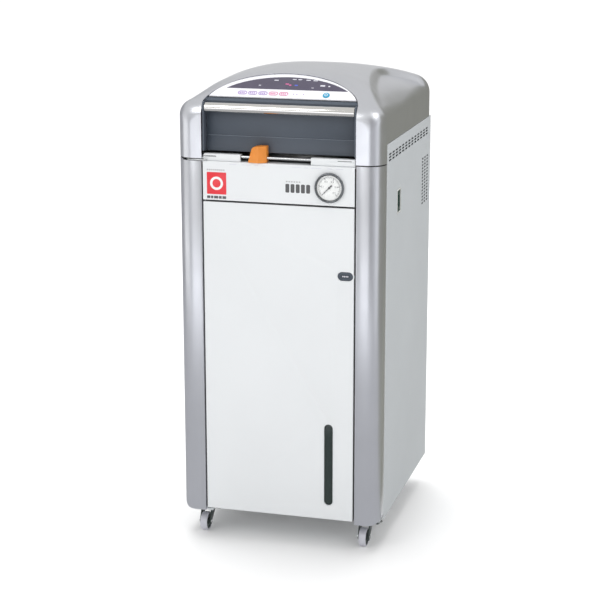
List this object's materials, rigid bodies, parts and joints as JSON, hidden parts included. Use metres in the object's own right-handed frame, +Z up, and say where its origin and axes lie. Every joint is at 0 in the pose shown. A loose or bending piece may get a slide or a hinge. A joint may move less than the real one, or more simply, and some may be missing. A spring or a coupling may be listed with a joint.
{
  "type": "vertical autoclave",
  "caption": "Floor-standing top-loading autoclave on castors with hinged hood, handle bar, sliding lock, pressure gauge, front door with window slot and vented sides.",
  "frame": {"origin": "on the floor under the middle of the machine's footprint", "axes": "+Z up, +X to the right as seen from the front, the front faces -Y"},
  "size_m": [0.44, 0.496, 1.0083],
  "materials": {
    "silver": "satin metallic silver paint",
    "white_panel": "smooth white enamel",
    "side_grey": "fine-textured light grey powder coat",
    "stainless": "brushed stainless steel",
    "bright_steel": "bright zinc-plated steel",
    "dark_steel": "dark plated steel",
    "chrome_trim": "polished chrome",
    "insulation": "glass-fibre blanket",
    "brass_fitting": "turned brass",
    "red_plastic": "red lever grip",
    "bottle_plastic": "translucent blow-moulded plastic",
    "dark_plastic": "black moulded plastic",
    "white_plastic": "white moulded plastic",
    "hose_rubber": "grey silicone hose",
    "dial_white": "printed white dial",
    "clear_glass": "clear gauge glass",
    "dark_glass": "dark tinted window",
    "orange_plastic": "orange moulded plastic",
    "panel_film": "dark violet-grey control film",
    "key_film": "white membrane key film",
    "blue_plastic": "cyan-blue key cap",
    "slate": "slate grey moulded plastic",
    "gasket_rubber": "black silicone gasket",
    "castor_tyre": "light grey castor tyre"
  },
  "bodies": {
    "cabinet": {"base_frame": "side_grey", "right_column": "silver", "left_column": "silver", "right_side_panel": "side_grey", "left_side_panel": "side_grey", "rear_panel": "side_grey", "fascia": "white_panel", "top_deck": "side_grey", "chamber_vessel": "stainless", "chamber_flange": "stainless", "insulation_jacket": "insulation", "heater_element": "stainless", "basket_support_plate": "stainless", "safety_valve": "brass_fitting", "drain_valve": "stainless", "exhaust_bottle": "bottle_plastic", "bottle_cap": "dark_plastic", "exhaust_hose": "hose_rubber", "control_box": "side_grey", "breaker_body": "dark_plastic", "breaker_bezel": "white_plastic", "power_inlet": "dark_plastic", "gauge_case": "dark_plastic", "gauge_dial": "dial_white", "gauge_bezel": "chrome_trim", "gauge_glass": "clear_glass", "left_guide_plate": "white_panel", "right_guide_plate": "white_panel", "hinge_pin": "bright_steel", "hinge_bracket": "bright_steel", "door_hinge_pin": "bright_steel", "door_catch": "dark_plastic"},
    "hood": {"hood_shell": "silver", "control_panel": "panel_film", "keypad_strip": "key_film", "front_panel": "slate", "handle_bar": "chrome_trim", "pressure_lid": "stainless", "lid_gasket": "gasket_rubber", "lid_arm": "side_grey"},
    "start_key": {"start_key": "blue_plastic"},
    "door": {"front_door": "white_panel", "door_window": "dark_glass"},
    "door_latch": {"latch_button": "slate"},
    "hood_lock": {"lock_rod": "bright_steel", "lock_knob": "orange_plastic"},
    "basket": {"basket": "stainless"},
    "drain_lever": {"drain_lever": "red_plastic"},
    "breaker_toggle": {"breaker_toggle": "white_plastic"},
    "gauge_needle": {"gauge_needle": "dark_plastic"},
    "left_brake_pedal": {"left_brake_pedal": "dark_steel"},
    "right_brake_pedal": {"right_brake_pedal": "dark_steel"},
    "front_left_castor": {"front_left_castor_fork": "dark_steel"},
    "front_left_wheel": {"front_left_castor_wheel": "castor_tyre"},
    "front_right_castor": {"front_right_castor_fork": "dark_steel"},
    "front_right_wheel": {"front_right_castor_wheel": "castor_tyre"},
    "rear_left_castor": {"rear_left_castor_fork": "dark_steel"},
    "rear_left_wheel": {"rear_left_castor_wheel": "castor_tyre"},
    "rear_right_castor": {"rear_right_castor_fork": "dark_steel"},
    "rear_right_wheel": {"rear_right_castor_wheel": "castor_tyre"}
  },
  "joints": [
    {"name": "hood_hinge", "type": "hinge", "parent": "cabinet", "child": "hood", "pos_m": [0, 0.242, 0.88], "axis": [-1, 0, 0], "range_deg": [0, 75]},
    {"name": "start_key_press", "type": "slide", "parent": "hood", "child": "start_key", "axis": [0, 0.6052, -0.7961], "range_m": [0, 0.001], "stiffness_N_per_m": 400, "springref_m": -0.0005},
    {"name": "door_hinge", "type": "hinge", "parent": "cabinet", "child": "door", "pos_m": [-0.158, -0.235, 0.404], "axis": [0, 0, -1], "range_deg": [0, 100]},
    {"name": "door_latch_press", "type": "slide", "parent": "door", "child": "door_latch", "axis": [0, 1, 0], "range_m": [0, 0.002], "stiffness_N_per_m": 400, "springref_m": -0.0005},
    {"name": "hood_lock_slide", "type": "slide", "parent": "cabinet", "child": "hood_lock", "axis": [-1, 0, 0], "range_m": [0, 0.012]},
    {"name": "basket_lift", "type": "slide", "parent": "cabinet", "child": "basket", "axis": [0, 0, 1], "range_m": [0, 0.3]},
    {"name": "drain_lever_turn", "type": "hinge", "parent": "cabinet", "child": "drain_lever", "pos_m": [-0.07, -0.212, 0.112], "axis": [0, -1, 0], "range_deg": [0, 90]},
    {"name": "breaker_rock", "type": "hinge", "parent": "cabinet", "child": "breaker_toggle", "pos_m": [0.206, -0.085, 0.7325], "axis": [0, -1, 0], "range_deg": [0, 50]},
    {"name": "needle_turn", "type": "hinge", "parent": "cabinet", "child": "gauge_needle", "pos_m": [0.109, -0.243, 0.782], "axis": [0, 1, 0], "range_deg": [0, 270], "stiffness_Nm_per_rad": 0.001},
    {"name": "left_brake_press", "type": "hinge", "parent": "front_left_castor", "child": "left_brake_pedal", "pos_m": [-0.178, -0.175, 0.042], "axis": [-1, 0, 0], "range_deg": [0, 14]},
    {"name": "right_brake_press", "type": "hinge", "parent": "front_right_castor", "child": "right_brake_pedal", "pos_m": [0.178, -0.175, 0.042], "axis": [-1, 0, 0], "range_deg": [0, 14]},
    {"name": "front_left_swivel", "type": "hinge", "parent": "cabinet", "child": "front_left_castor", "pos_m": [-0.178, -0.183, 0.055], "axis": [0, 0, 1], "continuous": true},
    {"name": "front_left_roll", "type": "hinge", "parent": "front_left_castor", "child": "front_left_wheel", "pos_m": [-0.178, -0.203, 0.02], "axis": [1, 0, 0], "continuous": true},
    {"name": "front_right_swivel", "type": "hinge", "parent": "cabinet", "child": "front_right_castor", "pos_m": [0.178, -0.183, 0.055], "axis": [0, 0, 1], "continuous": true},
    {"name": "front_right_roll", "type": "hinge", "parent": "front_right_castor", "child": "front_right_wheel", "pos_m": [0.178, -0.203, 0.02], "axis": [1, 0, 0], "continuous": true},
    {"name": "rear_left_swivel", "type": "hinge", "parent": "cabinet", "child": "rear_left_castor", "pos_m": [-0.178, 0.188, 0.055], "axis": [0, 0, 1], "continuous": true},
    {"name": "rear_left_roll", "type": "hinge", "parent": "rear_left_castor", "child": "rear_left_wheel", "pos_m": [-0.178, 0.168, 0.02], "axis": [1, 0, 0], "continuous": true},
    {"name": "rear_right_swivel", "type": "hinge", "parent": "cabinet", "child": "rear_right_castor", "pos_m": [0.178, 0.188, 0.055], "axis": [0, 0, 1], "continuous": true},
    {"name": "rear_right_roll", "type": "hinge", "parent": "rear_right_castor", "child": "rear_right_wheel", "pos_m": [0.178, 0.168, 0.02], "axis": [1, 0, 0], "continuous": true}
  ]
}
